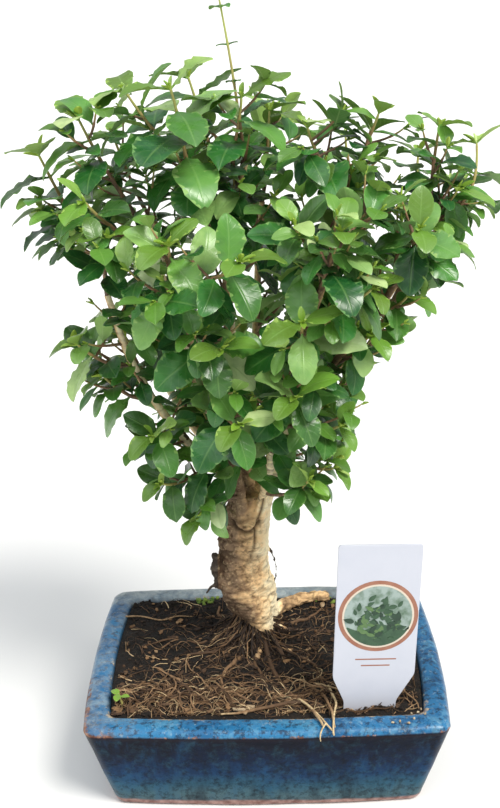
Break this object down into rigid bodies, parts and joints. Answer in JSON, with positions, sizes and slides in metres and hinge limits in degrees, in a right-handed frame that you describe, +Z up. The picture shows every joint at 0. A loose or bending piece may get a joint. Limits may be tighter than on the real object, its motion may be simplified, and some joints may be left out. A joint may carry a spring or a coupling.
{
  "type": "privet bonsai",
  "caption": "Fan-crowned privet bonsai with a stout flaky trunk and glossy opposite leaves, in a low flared blue glazed rectangular pot with a plain plant label.",
  "frame": {"origin": "centre of the pot's underside, on the surface that it stands on", "axes": "+Z up, -Y toward the front of the pot where the label stands, +X to the right seen from the front"},
  "size_m": [0.2017, 0.1465, 0.3399],
  "materials": {
    "blue_glaze": "gloss",
    "peat_soil": "matte",
    "bark": "matte",
    "leaves_1": "satin",
    "leaves_2": "satin",
    "leaves_3": "satin",
    "leaves_4": "satin",
    "leaves_5": "satin",
    "leaves_6": "satin",
    "label_plastic": "satin",
    "weed_green": "matte"
  },
  "bodies": {
    "root": {"pot": "blue_glaze", "soil": "peat_soil", "trunk": "bark", "shoot_01": "leaves_1", "shoot_02": "leaves_2", "shoot_03": "leaves_3", "shoot_04": "leaves_4", "shoot_05": "leaves_5", "shoot_06": "leaves_6", "shoot_07": "leaves_1", "shoot_08": "leaves_2", "shoot_09": "leaves_3", "shoot_10": "leaves_4", "shoot_11": "leaves_5", "shoot_12": "leaves_6", "shoot_13": "leaves_1", "shoot_14": "leaves_2", "shoot_15": "leaves_3", "shoot_16": "leaves_4", "shoot_17": "leaves_5", "shoot_18": "leaves_6", "shoot_19": "leaves_1", "shoot_20": "leaves_2", "shoot_21": "leaves_3", "shoot_22": "leaves_4", "shoot_23": "leaves_5", "shoot_24": "leaves_6", "shoot_25": "leaves_1", "shoot_26": "leaves_2", "shoot_27": "leaves_3", "shoot_28": "leaves_4", "shoot_29": "leaves_5", "shoot_30": "leaves_6", "shoot_31": "leaves_1", "shoot_32": "leaves_2", "shoot_33": "leaves_3", "shoot_34": "leaves_4", "shoot_35": "leaves_5", "shoot_36": "leaves_6", "shoot_37": "leaves_1", "shoot_38": "leaves_2", "shoot_39": "leaves_3", "shoot_40": "leaves_4", "shoot_41": "leaves_5", "shoot_42": "leaves_6", "shoot_43": "leaves_1", "shoot_44": "leaves_2", "shoot_45": "leaves_3", "shoot_46": "leaves_4", "shoot_47": "leaves_5", "shoot_48": "leaves_6", "shoot_49": "leaves_1", "shoot_50": "leaves_2", "shoot_51": "leaves_3", "shoot_52": "leaves_4", "shoot_53": "leaves_5", "tall_shoot": "leaves_6", "plant_label": "label_plastic", "seedling": "weed_green"}
  },
  "joints": []
}
